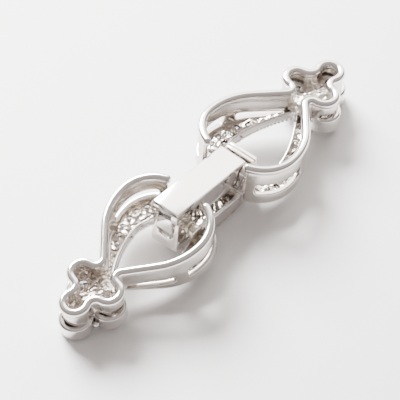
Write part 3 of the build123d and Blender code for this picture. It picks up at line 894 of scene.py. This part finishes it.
def catch_frame(bm):
    """Adds the frame at the catch end: two posts over a sill with rounded inner corners."""
    sill = crown_height(box_near)
    inside = box_near_half - post_width
    bend = [step * pi / 12 for step in range(7)]
    inner_corner = [
        (inside - frame_corner * (1 - cos(angle)), frame_corner * (1 - sin(angle)) - plate_top)
        for angle in bend
    ]
    slab(bm, [
        (-box_near_half, -post_top), (-box_near_half, sill + frame_foot),
        (frame_foot - box_near_half, sill + tucked), (box_near_half - frame_foot, sill + tucked),
        (box_near_half, sill + frame_foot), (box_near_half, -post_top), (inside, -post_top),
    ] + inner_corner + [(-step, height) for step, height in reversed(inner_corner)] + [
        (-inside, -post_top),
    ], box_near - post_depth * frame_share, box_near, frame_rounding, True)


def gusset(bm, hand):
    """Adds the gusset behind one post of the catch end."""
    low, high = sorted((hand * (box_near_half - side_wall), hand * (box_near_half - tucked)))
    slab(bm, [
        (box_near - 0.05 * mm, -plate_top - gusset_foot), (box_near - 0.05 * mm, -post_top - 0.1 * mm),
        (box_near - post_depth, -post_top - 0.1 * mm),
        (box_near - post_depth - gusset_knee, -gusset_knee_drop), (box_near - gusset_reach, -plate_top),
        (box_near - gusset_reach, -plate_top - gusset_foot),
    ], low, high, 0.06 * mm)


def ear(bm, hand):
    """Adds one ear that holds the hinge pin, beside the lever."""
    low, high = sorted((hand * (lever_half + ear_gap), hand * (lever_half + ear_gap + ear_thickness)))
    slab(bm, round_top(pin_reach, -pin_drop, ear_radius) + [
        (pin_reach - ear_radius, -plate_top), (pin_reach + ear_radius, -plate_top),
    ], low, high, 0.06 * mm)


def bar_across(bm, first, last, low, high, half, rounding):
    """Adds a straight square bar across the box, between two reaches and two heights."""
    slab(bm, [(first, low), (last, low), (last, high), (first, high)], -half, half, rounding)


def box_metal():
    """Frame, gussets, ears, end wall, hinge wall and the bar soldered across the link's heel."""
    bm = bmesh.new()
    catch_frame(bm)
    for hand in (1, -1):
        gusset(bm, hand)
        ear(bm, hand)
    first, last = (box_near - step for step in end_wall_steps)
    sill, inside = crown_height(box_near) + tucked, box_near_half - post_width
    bar_across(bm, first, last, sill, -plate_top - end_wall_rise, inside, 0.07 * mm)
    for start, width, drop in hinge_ribs:
        first, top = box_far + start, -hinge_wall_top - drop
        bar_across(bm, first, first + width, -plate_top, top, hinge_wall_half, 0.09 * mm)
    heel_end = belly_reach + heel_radius
    bar_across(bm, plate_far, heel_end, -plate_top, -solder_bar_top, solder_bar_half, 0.1 * mm)
    return bm


# The box's plate takes the near link's darker copy of the cast back, with its painted shade.
plate = finished("box_plate", box_plate(), "far", shaded_and_lit_cast_backs["near"])
thickened(plate, plate_floor, offset=-1.0)
walls = finished("box_sides", box_sides(), "far", polished)
thickened(walls, side_wall)
finished("box_metal", box_metal(), "far", polished)
finished("box_bars", side_bars(), "far", polished)

# Small stones of the box: three rows in its front plate, with a cast bead in each corner between
# four of them.
plate_bead, plate_bead_share, plate_bead_rise = 0.15 * mm, 0.7, 0.14 * mm
stones, beads = bmesh.new(), bmesh.new()
for stone in plate_places:
    brilliant(stones, pave_radius, (*stone, table_recess + crown_height(stone.x)))
    for angle in (pi / 4 + step * pi / 2 for step in range(4)):
        spot = stone + plate_bead_share * plate_pitch * Vector((cos(angle), sin(angle)))
        bead(beads, (*spot, crown_height(spot.x) + plate_bead_rise), plate_bead)
drop_loose_edges(stones)
finished("box_small_stones", stones, "far", clear, 5, node="box_stones")
finished("box_beads", beads, "far", polished)

# Lever: a folded channel of plated sheet, its top polished flat, with flange lugs, a tongue that
# snaps into the box's frame, and a rolled knuckle round the hinge pin, left unpolished.
lever_top, lever_gauge, lever_far, lever_near = 0.6 * mm, 0.5 * mm, 18.15 * mm, 29.4 * mm
flange_depth, flange_shallow, flange_rise = 3.4 * mm, 0.9 * mm, 0.08 * mm
lug_step, lug_drop, flange_lug_radius = 0.45 * mm, 3.05 * mm, 0.65 * mm
tongue_depth, tongue_half, tongue_rise, post_gap = 4.1 * mm, 1.05 * mm, 0.2 * mm, 0.15 * mm
knuckle_radius = 1.0 * mm


def lever_metal():
    """Top plate, flanges with their lugs, end wall and tongue."""
    bm = bmesh.new()
    under_top, end_inside = -lever_top - flange_rise, lever_near - lever_gauge
    bar_across(bm, lever_far, lever_near, -lever_top, -lever_top - lever_gauge, lever_half, 0.1 * mm)
    for hand in (1, -1):
        low, high = sorted((hand * (lever_half - lever_gauge), hand * (lever_half - tucked)))
        slab(bm, [
            (pin_reach, under_top), (lever_near - 0.05 * mm, under_top),
            (lever_near - 0.05 * mm, -lever_top - flange_shallow),
            (flange_break + flange_shallow, -lever_top - flange_shallow),
            (flange_break, -flange_depth), (pin_reach, -flange_depth),
        ], low, high, 0.05 * mm)
        rod(bm, pin_reach + lug_step, -lug_drop, flange_lug_radius, low, high, 0.05 * mm)
    slab(bm, [
        (lever_near, under_top), (lever_near, post_gap - post_top),
        (end_inside, post_gap - post_top), (end_inside, under_top),
    ], -lever_half + 0.03 * mm, lever_half - 0.03 * mm, 0.06 * mm)
    slab(bm, [
        (lever_near, -lever_top - tongue_rise), (lever_near, -tongue_depth),
        (end_inside, -tongue_depth), (end_inside, -lever_top - tongue_rise),
    ], -tongue_half, tongue_half, 0.16 * mm)
    return bm


mirror = metal(
    "lever_plating", tint=(0.86, 0.835, 0.815), shade=(0.80, 0.775, 0.755), roughness=0.09,
    patches=150, ripples=260, ripple_depth=0.004 * mm,
)
finished("lever_shell", lever_metal(), "far", mirror, body="lever", node="lever")
# The knuckle takes the worn casting, whose painted shade darkens it in the gap under the lever's end.
bm = bmesh.new()
rod(bm, pin_reach, -pin_drop, knuckle_radius, -lever_half, lever_half, 0.08 * mm, 48)
finished("lever_knuckle", bm, "far", worn_and_shaded, body="lever", node="lever")

# Hinge pin: a plain plated rod with slightly rounded ends, pushed through both ears of the box
# and the knuckle of the lever, which turns on it.
pin_radius, pin_half = 0.35 * mm, lever_half + ear_gap + ear_thickness
bm = bmesh.new()
rod(bm, pin_reach, -pin_drop, pin_radius, -pin_half, pin_half, 0.06 * mm)
finished("pin", bm, "far", polished, node="hinge_pin")

# Ground: a wide flat sheet of pale matt paper under the clasp. Its colour is painted a little
# darker towards the front right of the picture: painted shade for the light's fall-off.
ground_half = 1.5
painted_shade_direction, painted_shade_start, painted_shade_end = (0.10, -0.995, 0), -30 * mm, 34 * mm
bm = bmesh.new()
bmesh.ops.create_grid(bm, x_segments=2, y_segments=2, size=ground_half)
ground_mesh = bpy.data.meshes.new("ground")
bm.to_mesh(ground_mesh)
bm.free()
ground = bpy.data.objects.new("ground", ground_mesh)
bpy.context.scene.collection.objects.link(ground)
paper = bpy.data.materials.new("paper")
paper.use_nodes = True
paper_tree = paper.node_tree
paper_shader = paper_tree.nodes["Principled BSDF"]
paper_shader.inputs["Roughness"].default_value = 0.9
paper_place = paper_tree.nodes.new("ShaderNodeTexCoord")
across = paper_tree.nodes.new("ShaderNodeVectorMath")
across.operation = "DOT_PRODUCT"
across.inputs[1].default_value = painted_shade_direction
paper_tree.links.new(paper_place.outputs["Object"], across.inputs[0])
painted_shade_ramp = paper_tree.nodes.new("ShaderNodeMapRange")
painted_shade_ramp.inputs["From Min"].default_value = painted_shade_start
painted_shade_ramp.inputs["From Max"].default_value = painted_shade_end
paper_tree.links.new(across.outputs["Value"], painted_shade_ramp.inputs["Value"])
paper_painted_shade = paper_tree.nodes.new("ShaderNodeMix")
paper_painted_shade.data_type = "RGBA"
paper_painted_shade.inputs["A"].default_value = (0.9, 0.9, 0.9, 1)
paper_painted_shade.inputs["B"].default_value = (0.66, 0.645, 0.65, 1)
paper_tree.links.new(painted_shade_ramp.outputs["Result"], paper_painted_shade.inputs["Factor"])
paper_tree.links.new(paper_painted_shade.outputs["Result"], paper_shader.inputs["Base Color"])
ground_mesh.materials.append(paper)

# Camera: a long lens about half a metre away, 52 degrees above the ground on the catch link's
# side, as in the photograph.
target = Vector((0.912 * mm, 1.724 * mm, 0))
camera_azimuth, camera_height, camera_distance = radians(-49.7), radians(52.38), 481.8 * mm
back = Vector((
    sin(camera_azimuth) * cos(camera_height),
    -cos(camera_azimuth) * cos(camera_height),
    sin(camera_height),
))
camera_data = bpy.data.cameras.new("camera")
camera_data.lens = 402
camera_data.sensor_width = 36
camera = bpy.data.objects.new("camera", camera_data)
bpy.context.scene.collection.objects.link(camera)
camera.location = target + back * camera_distance
camera.rotation_mode = "QUATERNION"
camera.rotation_quaternion = (-back).to_track_quat("-Z", "Y")
bpy.context.scene.camera = camera

# Light: one large soft round lamp behind the clasp, which throws the shadow forwards. The rest
# of the light comes from the room.
key_place, key_size, key_power = Vector((0.19, 0.45, 0.36)), 0.35, 33
key_data = bpy.data.lights.new("key", "AREA")
key_data.shape, key_data.size = "DISK", key_size
key_data.energy = key_power
key_data.color = (1.0, 0.99, 0.98)
key = bpy.data.objects.new("key", key_data)
key.location = key_place
key.rotation_mode = "QUATERNION"
key.rotation_quaternion = (-key_place).to_track_quat("-Z", "Y")
bpy.context.scene.collection.objects.link(key)

# Room: a white sheet where the lever's top looks, a dimmer, warmer room all round it, and a dark
# band over a bright ground line, for the metal to mirror.
sheet_direction, room_strength = (0.75, 0.44, 0.494), 8.6
# Brightness by nearness to the sheet's middle, and then by height above the ground line
sheet_stops = [
    (0.0, (0.066, 0.059, 0.056, 1)), (0.91, (0.8, 0.775, 0.757, 1)),
    (0.40, (0.092, 0.084, 0.080, 1)), (0.72, (0.096, 0.088, 0.084, 1)), (0.84, (0.12, 0.112, 0.108, 1)),
]
horizon_stops = [
    (0.02, (0.9, 0.88, 0.86, 1)), (0.34, (1, 1, 1, 1)),
    (0.08, (0.12, 0.105, 0.1, 1)), (0.22, (0.3, 0.28, 0.27, 1)),
]
world = bpy.data.worlds.new("studio")
bpy.context.scene.world = world
world.use_nodes = True
room = world.node_tree


def room_ramp(value, stops):
    """A ramp of the room's light: its two ends first, then the stops between them."""
    ramp = room.nodes.new("ShaderNodeValToRGB")
    for element, (position, colour) in zip(ramp.color_ramp.elements, stops):
        element.position, element.color = position, colour
    for position, colour in stops[2:]:
        ramp.color_ramp.elements.new(position).color = colour
    room.links.new(value, ramp.inputs["Fac"])
    return ramp.outputs["Color"]


view = room.nodes.new("ShaderNodeTexCoord")
towards = room.nodes.new("ShaderNodeVectorMath")
towards.operation = "DOT_PRODUCT"
towards.inputs[1].default_value = sheet_direction
room.links.new(view.outputs["Generated"], towards.inputs[0])
height = room.nodes.new("ShaderNodeSeparateXYZ")
room.links.new(view.outputs["Generated"], height.inputs["Vector"])
light = room.nodes.new("ShaderNodeMix")
light.data_type, light.blend_type = "RGBA", "MULTIPLY"
light.inputs["Factor"].default_value = 1
room.links.new(room_ramp(towards.outputs["Value"], sheet_stops), light.inputs["A"])
room.links.new(room_ramp(height.outputs["Z"], horizon_stops), light.inputs["B"])
room.links.new(light.outputs["Result"], room.nodes["Background"].inputs["Color"])
room.nodes["Background"].inputs["Strength"].default_value = room_strength
